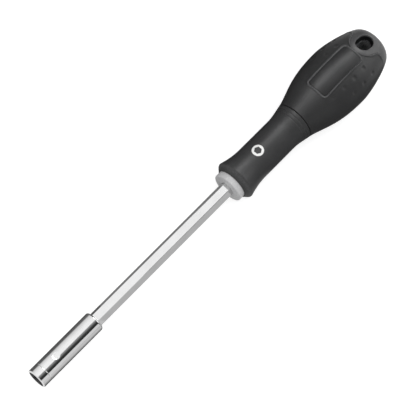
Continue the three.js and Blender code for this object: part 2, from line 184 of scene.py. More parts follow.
class HandleSizes(bpy.types.PropertyGroup):
    """Sizes of the collar and the handle's mouldings"""

    collar_radius: length("Collar Radius", "Outside of the front collar", 7.75 * MM)
    collar_edge: length("Collar Edge", "Rounding of the collar's front edge", 0.55 * MM)
    lip_bore: length("Lip Bore", "Inside of the neck's lip", 8.05 * MM)
    lip_bevel: length("Lip Bevel", "Length of the bevel at the lip's front", 2 * MM)
    lip_rise: length("Lip Rise", "Lip's crest above its bore", 2.35 * MM)
    lip_crest: length("Lip Crest", "Crest behind the lip's front edge", 2.95 * MM)
    lip_flare: length("Lip Flare", "Run from the crest down to the neck", 11.8 * MM)
    neck_radius: length("Neck Radius", "Outside of the straight neck", 8.7 * MM)
    neck_bore: length("Neck Bore", "Inside of the neck", 6.45 * MM)
    neck_flare: length("Neck Flare", "Run from the neck up to the seam", 9.5 * MM)
    seam_radius: length("Seam Radius", "Outside at the seam", 10.1 * MM)
    belly_radius: length("Belly Radius", "Widest part of the palm", 16.25 * MM)
    belly_from_butt: length("Belly From Butt", "Widest part, measured from the butt", 26.6 * MM)
    shoulder_radius: length("Shoulder Radius", "Outside where the butt begins to round over", 12.4 * MM)
    shoulder_from_butt: length("Shoulder From Butt", "Start of the butt's rounding", 7.1 * MM)
    shoulder_slope: share("Shoulder Slope", "Fall of the outline at the shoulder", 0.39)
    flat_depth: length("Flat Depth", "Taken off the round section on the label sides", 1.0 * MM)
    palm_wall: length("Palm Wall", "Thickness of the soft grip", 2.2 * MM)
    joint_gap: length("Joint Gap", "Gap between neighbouring mouldings", 0.3 * MM)
    parting_gap: length("Parting Gap", "Fine line between the soft grip and the hard core", 0.03 * MM)
    hole_from_butt: length("Hole From Butt", "Hang hole's centre, measured from the butt", 9.1 * MM)
    hole_width: length("Hole Width", "Hang hole across the tool", 7.6 * MM)
    hole_length: length("Hole Length", "Hang hole along the tool", 9.8 * MM)
    hole_round: length("Hole Rounding", "Rounding of the hang hole's rim", 0.28 * MM)
    tongue_margin: length("Tongue Margin", "Hard plastic round the hang hole", 3.1 * MM)
    tongue_fillet: length("Tongue Fillet", "Bend where the tongue meets the grip's rear edge", 2.8 * MM)
    rear_edge: length("Rear Edge", "Grip's rear edge, measured from the butt", 6.9 * MM)
    label_length: length("Label Length", "Label window along the tool", 26.4 * MM)
    label_width: length("Label Width", "Label window across the tool", 10.9 * MM)
    label_corner: length("Label Corner", "Corner radius of the label window", 1.4 * MM)
    label_recess: length("Label Recess", "Label pad below the grip's surface", 0.12 * MM)
    label_bridge: length("Label Bridge", "Strip of grip between the label and the tongue", 1.5 * MM)
    bead_height: length("Bead Height", "Raised bead round the label windows", 0.3 * MM)
    bead_width: length("Bead Width", "Width of the raised beads", 1.1 * MM)
    tongue_bead: length("Tongue Bead", "Raised bead along the grip's rear edge", 0.28 * MM)
    dimple_diameter: length("Dimple Diameter", "Width of a grip dimple", 2.9 * MM)
    dimple_depth: length("Dimple Depth", "Depth of a grip dimple at the butt end of its row", 0.36 * MM)
    dimple_pitch: length("Dimple Pitch", "Spacing of the dimples along a row", 7 * MM)
    ring_from_seam: length("Ring From Seam", "Shallow rings in front of the seam", 2.1 * MM)
    ring_spacing: length("Ring Spacing", "Spacing of the shallow rings", 1.7 * MM)
    ring_depth: length("Ring Depth", "Depth of the shallow rings", 0.18 * MM)
    symbol_from_collar: length("Symbol From Collar", "Drive symbol behind the collar's front", 20.8 * MM)
    symbol_offset: length("Symbol Offset", "Drive symbol's place across the neck", 0.35 * MM)
    symbol_radius: length("Symbol Radius", "Outside of the drive symbol's ring", 2.9 * MM)
    symbol_flats: length("Symbol Flats", "Hexagon in the drive symbol across its flats", 3.3 * MM)


class Finishes(bpy.types.PropertyGroup):
    """Colours of the finishes"""

    chrome: colour("Chrome", "Plated socket", (0.746, 0.746, 0.748))
    bar: colour("Bar", "Plated bar", (0.729, 0.729, 0.731))
    bore: colour("Bore", "Unplated steel inside the socket", (0.06, 0.06, 0.063))
    magnet: colour("Magnet", "Nickel plated magnet", (0.5, 0.49, 0.47))
    spring: colour("Spring", "Spring steel wire", (0.35, 0.35, 0.36))
    collar: colour("Collar", "Light grey plastic", (0.56, 0.56, 0.565))
    neck: colour("Neck", "Black plastic of the neck", (0.031, 0.0312, 0.032))
    grip: colour("Grip", "Soft black grip", (0.024, 0.0242, 0.0248))
    core: colour("Core", "Hard black plastic", (0.046, 0.0462, 0.047))
    pad: colour("Label Pad", "Smooth hard plastic of the label pads", (0.022, 0.0222, 0.0228))
    # Very dark base of the hang hole's wall: painted shade under the rim, which painted light pales deeper
    # down
    hole: colour("Hole", "Unpolished inside of the hang hole", (0.008, 0.0081, 0.0083))
    ink: colour("Ink", "White printed symbol", (0.86, 0.86, 0.85))


class StageSettings(bpy.types.PropertyGroup):
    """Camera, floor and studio light"""

    camera_place: point("Camera", "Place of the camera", (-0.13816, -0.1833, 0.7272))
    camera_aim: point("Aim", "Point in the middle of the picture", (0.09874, -0.00009, -0.0001))
    camera_lens: FloatProperty(
        name="Lens", description="Focal length on a 36 mm sensor", default=148.33, unit="CAMERA")
    floor_white: share("Floor White", "White that the floor shows to the camera besides its light", 0.74)
    ambient: share("Ambient", "Even studio light from all round", 0.68)
    softbox_power: power("Softbox Power", "Overhead softbox", 3.4)
    softbox_place: point("Softbox", "Place of the softbox", (0.42, -0.05, 0.9))
    softbox_aim: point("Softbox Aim", "Point that the softbox faces", (0.3, 0, 0))
    softbox_length: length("Softbox Length", "Softbox along the tool", 1.5)
    softbox_width: length("Softbox Width", "Softbox across the tool", 0.45)
    fill_power: power("Fill Power", "Soft fill beyond the butt", 1.3)
    fill_place: point("Fill", "Place of the fill", (0.75, -0.4, 0.4))
    fill_size: length("Fill Size", "Sides of the square fill", 0.4)


class ScrewdriverSettings(bpy.types.PropertyGroup):
    """Everything that a user would change"""

    blade: PointerProperty(type=BladeSizes, name="Blade", description="Blade sizes")
    handle: PointerProperty(type=HandleSizes, name="Handle", description="Handle sizes")
    finishes: PointerProperty(type=Finishes, name="Finishes", description="Finishes")
    stage: PointerProperty(type=StageSettings, name="Stage", description="Stage settings")


def smoothstep(low, high, value):
    t = np.clip((value - low) / (high - low), 0, 1)
    return t * t * (3 - 2 * t)


def swell(value, middle, width):
    """A soft rise to one at a middle, which fades over a width on both sides."""
    return np.exp(-((value - middle) / width) ** 2)


def seam_rounding(distance):
    """What the rounding at the seam takes off, at a distance from the edge."""
    over = np.clip(1 - distance / SEAM_EDGE, 0, 1)
    return SEAM_EDGE * (1 - np.sqrt(1 - over * over))


def ring_points(x, radius, angles):
    """A ring round the tool's axis. The radius is one number or one per angle."""
    radius = np.broadcast_to(radius, angles.shape)
    return np.stack([np.full_like(angles, x), radius * np.sin(angles), radius * np.cos(angles)], axis=1)


def around(segments):
    return np.arange(segments) * (2 * math.pi / segments)


def hexagon_radius(across_flats, angles):
    """Distance from the axis to a hexagon with flats facing +Z and -Z."""
    sector = math.pi / 3
    return across_flats / 2 / np.cos((angles + sector / 2) % sector - sector / 2)


def skin(rings, closed=False):
    """Points and quads of a skin over successive rings of equal counts."""
    count = len(rings[0])
    points = np.concatenate(rings)
    pairs = list(range(len(rings) - 1)) + ([len(rings) - 1] if closed else [])
    faces = []
    for i in pairs:
        low, high = i * count, (i + 1) % len(rings) * count
        faces += [(low + k, low + (k + 1) % count, high + (k + 1) % count, high + k) for k in range(count)]
    return points, faces


def turned(profile, segments, closed=False):
    """Skin of a profile of (place, radius) points turned about the tool's axis."""
    angles = around(segments)
    return skin([ring_points(x, r, angles) for x, r in profile], closed)


def rounded(corners, steps=5):
    """A profile through (place, radius, rounding) corners, each bent over the length of its rounding."""
    points = []
    for i, (x, r, rounding) in enumerate(corners):
        here = np.array((x, r))
        if not rounding:
            points.append(here)
            continue
        before = np.array(corners[i - 1][:2]) - here
        after = np.array(corners[(i + 1) % len(corners)][:2]) - here
        start = here + before / np.linalg.norm(before) * rounding
        end = here + after / np.linalg.norm(after) * rounding
        for t in np.linspace(0, 1, steps):
            points.append((1 - t) ** 2 * start + 2 * t * (1 - t) * here + t ** 2 * end)
    return [tuple(p) for p in points]


def held(profile, near=0.12 * MM):
    """A profile with points added near both ends of long runs, which keeps smooth shading level there."""
    points = [profile[0]]
    for a, b in zip(profile, profile[1:]):
        run = math.dist(a, b)
        if run > 4 * near:
            points += [tuple(np.array(a) + (np.array(b) - a) * t) for t in (near / run, 1 - near / run)]
        points.append(b)
    return points


def bezier(a, b, c, d, steps):
    """Points of a cubic curve, without its first."""
    t = np.linspace(0, 1, steps + 1)[1:, None]
    a, b, c, d = map(np.array, (a, b, c, d))
    return (1 - t) ** 3 * a + 3 * t * (1 - t) ** 2 * b + 3 * t ** 2 * (1 - t) * c + t ** 3 * d


def make_piece(name, parts, materials, nodes=(), crease=40, wear_and_painted_light=None):
    """One object from (points, faces) parts, each in its own material or all in one.

    It rides on the tool and stands for the frame's nodes.
    """
    mesh = bpy.data.meshes.new(name)
    bm = bmesh.new()
    for number, (points, faces) in enumerate(parts):
        corners = [bm.verts.new(p) for p in points]
        for face in faces:
            bm.faces.new([corners[i] for i in face]).material_index = min(number, len(materials) - 1)
    bmesh.ops.remove_doubles(bm, verts=bm.verts, dist=WELD)
    bmesh.ops.dissolve_degenerate(bm, edges=bm.edges, dist=WELD / 2)
    bmesh.ops.recalc_face_normals(bm, faces=bm.faces)
    bm.to_mesh(mesh)
    bm.free()
    mesh.shade_smooth()
    mesh.set_sharp_from_angle(angle=math.radians(crease))
    for material in materials:
        mesh.materials.append(material)
    # The wear values carry real rubbing and, on some pieces, painted light and painted highlights
    if wear_and_painted_light is not None:
        places = np.array([v.co for v in mesh.vertices])
        worn_and_painted_light = mesh.attributes.new("wear_and_painted_light", "FLOAT", "POINT")
        worn_and_painted_light.data.foreach_set("value", np.clip(wear_and_painted_light(places), 0, 1).astype(np.float32))
    piece = bpy.data.objects.new(name, mesh)
    bpy.context.scene.collection.objects.link(piece)
    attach(piece, "root")
    if nodes:
        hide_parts(*nodes)


class Finish:
    """A material whose colour, roughness and relief come from noise at the real scale of the surface."""

    def __init__(self, name, base, metallic=0.0):
        self.material = bpy.data.materials.new(name)
        self.material.use_nodes = True
        self.tree = self.material.node_tree
        self.shader = self.tree.nodes["Principled BSDF"]
        self.shader.inputs["Metallic"].default_value = metallic
        self.base = (*base, 1)
        self.material.diffuse_color = self.base
        self.place = self.tree.nodes.new("ShaderNodeTexCoord").outputs["Object"]

    def noise(self, size, stretch=(1, 1, 1), detail=3):
        """Noise with grains of a size in metres, drawn out by a stretch along each axis."""
        mapping = self.tree.nodes.new("ShaderNodeMapping")
        mapping.inputs["Scale"].default_value = [1 / (size * s) for s in stretch]
        texture = self.tree.nodes.new("ShaderNodeTexNoise")
        texture.inputs["Scale"].default_value = 1.0
        texture.inputs["Detail"].default_value = detail
        texture.inputs["Roughness"].default_value = 0.55
        self.tree.links.new(self.place, mapping.inputs["Vector"])
        self.tree.links.new(mapping.outputs["Vector"], texture.inputs["Vector"])
        return texture.outputs["Fac"]

    def spread(self, value, low, high, to_low, to_high):
        """A value's range laid onto another range."""
        node = self.tree.nodes.new("ShaderNodeMapRange")
        for name, number in zip(("From Min", "From Max", "To Min", "To Max"), (low, high, to_low, to_high)):
            node.inputs[name].default_value = number
        self.tree.links.new(value, node.inputs["Value"])
        return node.outputs["Result"]

    def combine(self, a, b, operation="ADD"):
        """The sum of two values, or what another operation makes of them."""
        node = self.tree.nodes.new("ShaderNodeMath")
        node.operation = operation
        self.tree.links.new(a, node.inputs[0])
        self.tree.links.new(b, node.inputs[1])
        return node.outputs["Value"]

    def worn_and_painted_light(self):
        """How far handling has rubbed the surface, together with the painted light and painted highlights
        that some pieces carry, from the mesh's own attribute.
        """
        node = self.tree.nodes.new("ShaderNodeAttribute")
        node.attribute_name = "wear_and_painted_light"
        return node.outputs["Fac"]

    def blend(self, amount, first, second):
        """A colour between two, by an amount. Each colour is a tuple or another node's output."""
        node = self.tree.nodes.new("ShaderNodeMix")
        node.data_type = "RGBA"
        self.tree.links.new(amount, node.inputs["Factor"])
        for name, value in (("A", first), ("B", second)):
            socket = next(s for s in node.inputs if s.name == name and s.type == "RGBA")
            if isinstance(value, tuple):
                socket.default_value = value
            else:
                self.tree.links.new(value, socket)
        return next(s for s in node.outputs if s.type == "RGBA")

    def shaded(self, factor):
        return tuple(min(1.0, c * factor) for c in self.base[:3]) + (1,)

    def set(self, socket, value):
        self.tree.links.new(value, self.shader.inputs[socket])

    def relief(self, *layers):
        """Bump layers of (height, depth in metres)."""
        normal = None
        for height, depth in layers:
            node = self.tree.nodes.new("ShaderNodeBump")
            node.inputs["Strength"].default_value = 1.0
            node.inputs["Distance"].default_value = depth
            self.tree.links.new(height, node.inputs["Height"])
            if normal:
                self.tree.links.new(normal, node.inputs["Normal"])
            normal = node.outputs["Normal"]
        self.tree.links.new(normal, self.shader.inputs["Normal"])


def plated_steel(name, base, roughness, line_stretch):
    """Chrome plate with fine tool lines, hazy patches and a rubbed rim."""
    finish = Finish(name, base, metallic=1.0)
    haze = finish.noise(7 * MM, detail=4)
    lines = finish.noise(0.09 * MM, line_stretch, detail=2)
    scratches = finish.noise(0.25 * MM, (1, 9, 9), detail=1)
    finish.set("Base Color", finish.blend(
        finish.spread(haze, 0.35, 0.7, 0, 1), finish.base, finish.shaded(0.93)))
    patchy = finish.spread(haze, 0.3, 0.75, roughness * 0.8, roughness * 1.5)
    rubbed = finish.spread(finish.combine(finish.worn_and_painted_light(), scratches, "MULTIPLY"), 0.25, 0.7, 0, 0.07)
    finish.set("Roughness", finish.combine(patchy, rubbed))
    finish.relief((lines, 0.0012 * MM), (scratches, 0.0015 * MM))
    return finish.material


def bare_steel(name, base, roughness):
    """Dull plated or oiled steel with a fine cast grain."""
    finish = Finish(name, base, metallic=1.0)
    patches = finish.noise(1.5 * MM, detail=4)
    finish.set("Base Color", finish.blend(
        finish.spread(patches, 0.35, 0.7, 0, 1), finish.base, finish.shaded(0.7)))
    finish.set("Roughness", finish.spread(patches, 0.3, 0.7, roughness * 0.8, roughness * 1.3))
    finish.relief((finish.noise(0.12 * MM, detail=2), 0.006 * MM))
    return finish.material


def moulded_plastic(name, base, roughness, grain, depth, dust_and_painted_light=1.5, gloss=0.3):
    """Moulded plastic or rubber: spark-eroded grain, handling marks, paler rubbed ridges and painted light
    where asked.
    """
    finish = Finish(name, base)
    finish.shader.inputs["Specular IOR Level"].default_value = gloss
    cloud = finish.noise(11 * MM, detail=4)
    texture = finish.noise(grain, detail=3)
    scuffs = finish.noise(0.5 * MM, (7, 1, 1), detail=2)
    mottled = finish.blend(finish.spread(cloud, 0.3, 0.7, 0, 1), finish.shaded(0.92), finish.shaded(1.1))
    ground = finish.blend(finish.spread(texture, 0.4, 0.75, 0, 1), mottled, finish.shaded(1.35))
    # Paler where the piece is rubbed, and where its attribute carries painted light or a painted highlight
    rubbed = finish.spread(finish.combine(finish.worn_and_painted_light(), scuffs, "MULTIPLY"), 0.15, 0.65, 0, 1)
    finish.set("Base Color", finish.blend(rubbed, ground, finish.shaded(dust_and_painted_light * 1.6)))
    uneven = finish.spread(cloud, 0.3, 0.7, roughness * 0.92, roughness * 1.08)
    finish.set("Roughness", finish.combine(uneven, finish.spread(scuffs, 0.55, 0.8, 0, 0.06)))
    finish.relief((texture, depth), (scuffs, depth * 0.25))
    return finish.material


def printed_ink(name, base):
    """Pad-printed ink, a little uneven in cover."""
    finish = Finish(name, base)
    cover = finish.noise(0.3 * MM, detail=3)
    finish.set("Base Color", finish.blend(
        finish.spread(cover, 0.3, 0.7, 0, 1), finish.shaded(0.9), finish.base))
    finish.set("Roughness", finish.spread(cover, 0.3, 0.7, 0.4, 0.55))
    finish.relief((cover, 0.004 * MM))
    return finish.material


def handle_profile(h, steps=40):
    """Places and radii along the handle's outside, from the lip's front edge to the end of the butt."""
    lip = place("neck_sleeve", 0)
    seam = (place("neck_sleeve", 1) + place("palm_grip", 0)) / 2
    butt = place("handle_core", 1)
    lip_radius = h.lip_bore + h.lip_rise
    crest = lip + h.lip_crest
    neck = crest + h.lip_flare
    flare = seam - h.neck_flare
    belly = butt - h.belly_from_butt
    shoulder = butt - h.shoulder_from_butt
    front, back = belly - seam, shoulder - belly
    drop, rise = lip_radius - h.neck_radius, h.seam_radius - h.neck_radius
    bulge = h.belly_radius - h.seam_radius
    run_in, run_out = REAR_CURVE["back"] * back, BUTT_CURVE["out"] * h.shoulder_from_butt
    bevel_end = (lip + h.lip_bevel, h.lip_bore + h.lip_bevel)
    corner = (lip + h.lip_rise, lip_radius)
    off_bevel = np.array(bevel_end) + (np.array(corner) - bevel_end) * 2 / 3
    onto_crest = np.array((crest, lip_radius)) + (np.array(corner) - (crest, lip_radius)) * 2 / 3
    parts = [
        np.array([(lip, h.lip_bore), bevel_end]),
        bezier(bevel_end, off_bevel, onto_crest, (crest, lip_radius), steps // 4),
        bezier((crest, lip_radius),
               (crest + LIP_CURVE["out"] * h.lip_flare, lip_radius - LIP_CURVE["drop"] * drop),
               (neck - LIP_CURVE["back"] * h.lip_flare, h.neck_radius), (neck, h.neck_radius), steps),
        np.array([(flare, h.neck_radius)]),
        bezier((flare, h.neck_radius), (flare + FLARE_CURVE["out"] * h.neck_flare, h.neck_radius),
               (seam - FLARE_CURVE["back"] * h.neck_flare, h.seam_radius - FLARE_CURVE["drop"] * rise),
               (seam, h.seam_radius), steps),
        bezier((seam, h.seam_radius),
               (seam + FRONT_CURVE["out"] * front, h.seam_radius + FRONT_CURVE["rise"] * bulge),
               (belly - FRONT_CURVE["back"] * front, h.belly_radius), (belly, h.belly_radius), 2 * steps),
        bezier((belly, h.belly_radius), (belly + REAR_CURVE["out"] * back, h.belly_radius),
               (shoulder - run_in, h.shoulder_radius + h.shoulder_slope * run_in),
               (shoulder, h.shoulder_radius), 2 * steps),
        bezier((shoulder, h.shoulder_radius),
               (shoulder + run_out, h.shoulder_radius - h.shoulder_slope * run_out),
               (butt, BUTT_CURVE["rise"] * h.shoulder_radius), (butt, 0), 2 * steps),
    ]
    profile = np.concatenate(parts)
    return profile[:, 0], profile[:, 1]


class Palm:
    """The bulb's surface and the outlines that are cut into it."""

    def __init__(self, h):
        self.h = h
        self.places, self.radii = handle_profile(h)
        self.start = place("palm_grip", 0)
        self.butt = place("handle_core", 1)
        self.edge = self.butt - h.rear_edge
        self.past_edge = self.edge + 1.5 * MM
        self.hole = self.butt - h.hole_from_butt
        self.tongue = h.hole_width / 2 + h.tongue_margin
        self.label_end = self.hole - self.tongue - h.label_bridge
        self.label_start = self.label_end - h.label_length

    def radius(self, x):
        return np.interp(x, self.places, self.radii)

    def surface(self, x, angle):
        """Points on the bulb, a little less deep between its label sides than it is wide."""
        radius = self.radius(x)
        taper = smoothstep(self.start, self.label_start, x) * (1 - smoothstep(self.hole, self.butt, x))
        flat = self.h.flat_depth * taper
        return np.stack([x, radius * np.sin(angle), (radius - flat) * np.cos(angle)], axis=-1)

    def top(self, x, y):
        """Height of the bulb's label side over a place in its plan."""
        least = 0.1 * MM
        radius = np.maximum(self.radius(x), least)
        return self.surface(x, np.arcsin(np.clip(y / radius, -1, 1)))[:, 2]

    def depth(self, p):
        """How far points lie under the nearer label side."""
        return self.top(p[:, 0], p[:, 1]) - np.abs(p[:, 2])

    def normal(self, x, angle):
        step = 0.05 * MM
        turn = 0.004
        least = 1e-15
        along = self.surface(x + step, angle) - self.surface(x - step, angle)
        round_it = self.surface(x, angle + turn) - self.surface(x, angle - turn)
        cross = np.cross(along, round_it)
        return cross / np.maximum(np.linalg.norm(cross, axis=-1, keepdims=True), least)

    def width(self, x, angle):
        """Distance across the tool, as seen from a label side."""
        return self.radius(x) * np.sin(angle)

    def from_label(self, x, angle):
        """Distance outside the label window, negative inside it."""
        h = self.h
        y = self.width(x, angle)
        across = np.abs(y) - h.label_width / 2 + h.label_corner
        along = np.abs(x - (self.label_start + self.label_end) / 2) - h.label_length / 2 + h.label_corner
        outside = np.hypot(np.maximum(across, 0), np.maximum(along, 0))
        return outside + np.minimum(np.maximum(across, along), 0) - h.label_corner

    def from_tongue(self, x, angle):
        """Distance ahead of the hard butt and its tongue, negative on them."""
        h = self.h
        y = np.abs(self.width(x, angle))
        tongue = np.where(x < self.hole, np.hypot(x - self.hole, y), y) - self.tongue
        rear = self.edge - x
        bend = np.hypot(np.maximum(h.tongue_fillet - tongue, 0), np.maximum(h.tongue_fillet - rear, 0))
        return np.maximum(h.tongue_fillet, np.minimum(tongue, rear)) - bend

    def from_hole(self, x, angle):
        """Distance outside the hang hole, negative in it."""
        h = self.h
        reach = (h.hole_length - h.hole_width) / 2
        along = np.maximum(np.abs(x - self.hole) - reach, 0)
        return np.hypot(along, self.width(x, angle)) - h.hole_width / 2

    def slide(self, x, angle, distance, amount):
        """Moves points by an amount towards lower values of a distance, along the surface's plan."""
        step = 0.01 * MM
        edge_on = 0.15
        least = 1e-9
        radius = self.radius(x)
        facing = radius * np.cos(angle)
        turn = np.where(np.abs(facing) > edge_on * radius, step / np.where(facing == 0, 1, facing), 0)
        by_x = (distance(x + step, angle) - distance(x - step, angle)) / (2 * step)
        by_y = (distance(x, angle + turn) - distance(x, angle - turn)) / (2 * step)
        size = np.maximum(np.hypot(by_x, by_y), least)
        return x - amount * by_x / size, angle - amount * by_y / size * turn / step


def graded(stops, spacings):
    """Places from stop to stop, each stretch at its own spacing."""
    places = [stops[0]]
    for start, end, spacing in zip(stops, stops[1:], spacings):
        count = max(1, round(abs(end - start) / spacing))
        places += list(np.linspace(start, end, count + 1)[1:])
    return np.array(places)


def palm_places(palm):
    """Places along the bulb, close together where edges are cut into it."""
    stops = (palm.start, palm.start + 0.6 * MM, palm.label_start - 1.6 * MM, palm.label_start + 2 * MM,
             palm.label_end - 2 * MM, palm.label_end + 3.2 * MM, palm.past_edge)
    return graded(stops, [spacing * MM for spacing in (0.06, 0.55, 0.16, 0.4, 0.12, 0.15)])


def palm_angles():
    """Angles round the bulb, closest together where the label's edges and the dimples lie."""
    quarter = graded(np.radians((0, 17, 26, 64, 90)), np.radians((0.9, 0.35, 1.1, 2.5)))
    side = np.concatenate([-quarter[:0:-1], quarter])
    return np.concatenate([side, side[1:] + math.pi])


def moulded_sheet(palm, places, angles, height, rims):
    """The part of the bulb's skin that lies inside some rims, with each rim turned down into the tool.

    Places are numbers along the axis. Height is the relief over the bulb. A rim is a distance, which is above
    zero on the part, with rows of (inset, level): how far past the rim a row lies, and its height over the
    bulb or None for the tool's middle plane.
    """
    grid_x, grid_a = np.meshgrid(places, angles, indexing="ij")
    x, a = grid_x.ravel(), grid_a.ravel()
    columns = len(angles)

    def distance(x, a):
        return np.min([rim(x, a) for rim, _ in rims], axis=0)

    d = distance(x, a)
    cuts, cut_x, cut_a = {}, [], []

    def cut(i, j):
        key = (min(i, j), max(i, j))
        if key not in cuts:
            t = d[i] / (d[i] - d[j])
            cut_x.append(x[i] + t * (x[j] - x[i]))
            cut_a.append(a[i] + t * (a[j] - a[i]))
            cuts[key] = len(x) + len(cuts)
        return cuts[key]

    faces, edges = [], []
    for i in range(len(places) - 1):
        for k in range(columns - 1):
            low, high = i * columns + k, (i + 1) * columns + k
            quad = (low, high, high + 1, low + 1)
            kept = [d[v] >= 0 for v in quad]
            if all(kept):
                faces.append(quad)
            elif any(kept):
                face = []
                for v, w in zip(quad, quad[1:] + quad[:1]):
                    if d[v] >= 0:
                        face.append(v)
                    if (d[v] >= 0) != (d[w] >= 0):
                        face.append(cut(v, w))
                faces.append(tuple(face))
                sides = zip(face, face[1:] + face[:1])
                edges += [(v - len(x), w - len(x)) for v, w in sides if min(v, w) >= len(x)]
    rim_x, rim_a = np.array(cut_x), np.array(cut_a)
    # The cut points lie on the grid's own lines, so they are moved onto the rim itself
    for _ in range(3):
        rim_x, rim_a = palm.slide(rim_x, rim_a, distance, distance(rim_x, rim_a))
    all_x, all_a = np.concatenate([x, rim_x]), np.concatenate([a, rim_a])
    points = [palm.surface(all_x, all_a) + palm.normal(all_x, all_a) * height(all_x, all_a)[:, None]]
    total = len(all_x)
    nearest = np.argmin([np.abs(rim(rim_x, rim_a)) for rim, _ in rims], axis=0)
    for n, (rim, rows) in enumerate(rims):
        own = [(v, w) for v, w in edges if n in (nearest[v], nearest[w])]
        last = np.arange(len(rim_x)) + len(x)
        for inset, level in rows:
            row_x, row_a = palm.slide(rim_x, rim_a, rim, inset)
            row = palm.surface(row_x, row_a)
            if level is None:
                row[:, 2] = 0
            else:
                row += palm.normal(row_x, row_a) * level
            points.append(row)
            numbers = np.arange(len(rim_x)) + total
            faces += [(last[w], last[v], numbers[v], numbers[w]) for v, w in own]
            last, total = numbers, total + len(numbers)
    used = sorted({v for face in faces for v in face})
    number = {v: n for n, v in enumerate(used)}
    return np.concatenate(points)[used], [tuple(number[v] for v in face) for face in faces]


class ScrewdriverOperator:
    """What every operator of the tool shares."""

    bl_options = {"REGISTER", "UNDO"}

    @classmethod
    def poll(cls, context):
        return context.scene is not None


class SCREWDRIVER_OT_bit_socket(ScrewdriverOperator, bpy.types.Operator):
    """Make the plated bit socket with its hexagon bore"""

    bl_idname = "screwdriver.bit_socket"
    bl_label = "Bit Socket"

    # Rounding of the inner and the outer edge of each bevel
    rear_bends = (0.15 * MM, 0.3 * MM)
    mouth_bends = (0.12 * MM, 0.2 * MM)
    # Start and end of the punched dimple's slope, as shares of its diameter
    stake_slope = (0.56, 0.36)
    # How far the rubbing of bits reaches from the mouth
    rub_reach = 5 * MM

    def execute(self, context):
        settings = context.scene.screwdriver
        angles = around(segments=288)
        bore = self.bore(settings.blade, angles)
        outside = [*self.outside(settings.blade, angles), bore[0]]
        chrome = plated_steel("socket_chrome", settings.finishes.chrome, roughness=0.07,
                              line_stretch=(1, 30, 30))
        steel = bare_steel("bore_steel", settings.finishes.bore, roughness=0.5)
        make_piece("bit_socket_sleeve", [skin(outside), skin(bore)], [chrome, steel],
                   ["bit_socket"], crease=32, wear_and_painted_light=self.worn_and_painted_light)
        return {"FINISHED"}

    def outside(self, b, angles):
        """Rings from the rear over the barrel to the mouth, with the ring line and two punched dimples."""
        mouth, rear = place("bit_socket", 0), place("bit_socket", 1)
        line, stake = mouth + b.line_from_mouth, mouth + b.stake_from_mouth
        ends = rounded([
            (rear, b.socket_radius - b.rear_chamfer, self.rear_bends[0]),
            (rear - b.rear_chamfer, b.socket_radius, self.rear_bends[1]),
            (mouth + b.mouth_chamfer, b.socket_radius, self.mouth_bends[1]),
            (mouth, b.socket_radius - b.mouth_chamfer, self.mouth_bends[0]),
        ])
        tail, nose = [p for p in ends if p[0] > stake], [p for p in ends if p[0] < line]
        punched = graded((stake + b.stake_diameter, stake - b.stake_diameter), [0.12 * MM])
        barrel = [(x, b.socket_radius) for x in punched]
        rolled = [(line + b.line_width / 2 * s, b.socket_radius - b.line_depth * (1 - s * s) ** 2)
                  for s in np.linspace(1, -1, 13)]
        off_top = np.minimum(angles % math.pi, math.pi - angles % math.pi)
        slope_start, slope_end = (b.stake_diameter * edge for edge in self.stake_slope)
        rings = [ring_points(rear, hexagon_radius(b.bore_flats, angles), angles)]
        for x, r in held(tail + barrel + rolled + nose):
            depth = b.stake_depth * smoothstep(slope_start, slope_end, np.hypot(x - stake, r * off_top))
            rings.append(ring_points(x, r - depth, angles))
        return rings

    def bore(self, b, angles):
        """Rings from the mouth's lead-in through the retaining ring's groove to the rear."""
        mouth, rear = place("bit_socket", 0), place("bit_socket", 1)
        line = mouth + b.line_from_mouth
        front, back = line - b.groove_width / 2, line + b.groove_width / 2
        bore = hexagon_radius(b.bore_flats, angles)
        corner = b.bore_flats / math.sqrt(3)
        lead, groove = corner + b.lead_in, corner + b.groove_depth
        past_lead = mouth + lead - b.bore_flats / 2 + 0.05 * MM
        rings = [ring_points(x, np.maximum(bore, lead - (x - mouth)), angles)
                 for x in np.linspace(mouth, past_lead, 9)]
        for x, r in ((front, bore), (front, groove), (back, groove), (back, bore), (rear, bore)):
            rings.append(ring_points(x, r, angles))
        return rings

    def worn_and_painted_light(self, p):
        return np.exp((place("bit_socket", 0) - p[:, 0]) / self.rub_reach)


class SCREWDRIVER_OT_bit_hold(ScrewdriverOperator, bpy.types.Operator):
    """Make the magnet and the spring ring that hold a bit in the socket"""

    bl_idname = "screwdriver.bit_hold"
    bl_label = "Magnet and Ring"

    magnet_bend = 0.08 * MM

    def execute(self, context):
        settings = context.scene.screwdriver
        make_piece("bit_magnet", [self.magnet(settings.blade)],
                   [bare_steel("magnet_nickel", settings.finishes.magnet, roughness=0.32)],
                   ["socket_magnet"])
        make_piece("bit_spring_ring", [self.ring(settings.blade)],
                   [bare_steel("ring_steel", settings.finishes.spring, roughness=0.3)],
                   ["retaining_ring"])
        return {"FINISHED"}

    def magnet(self, b):
        """A disc with a bevelled front."""
        low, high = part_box("socket_magnet")
        profile = rounded([
            (low.x, 0, 0),
            (low.x, high.y - b.magnet_chamfer, self.magnet_bend),
            (low.x + b.magnet_chamfer, high.y, self.magnet_bend),
            (high.x, high.y, self.magnet_bend),
            (high.x, 0, 0),
        ])
        return turned(profile, segments=64)

    def ring(self, b):
        """An open ring of round wire with rounded ends."""
        low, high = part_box("retaining_ring")
        middle = (low.x + high.x) / 2
        wire = b.wire / 2
        bend = high.y - wire
        first, last = b.ring_opening / 2, 2 * math.pi - b.ring_opening / 2
        caps = np.linspace(0, math.pi / 2, 5)
        stations = [(first, cap) for cap in caps]
        stations += [(turn, math.pi / 2) for turn in np.linspace(first, last, 72)[1:-1]]
        stations += [(last, cap) for cap in reversed(caps)]
        section = around(segments=16)
        rings = []
        for turn, cap in stations:
            past_end = wire * math.cos(cap) * (-1 if turn <= math.pi else 1)
            angle = math.pi + turn + past_end / bend
            size = wire * math.sin(cap)
            out = bend + size * np.cos(section)
            x = middle + size * np.sin(section)
            rings.append(np.stack([x, out * math.sin(angle), out * math.cos(angle)], axis=1))
        return skin(rings)


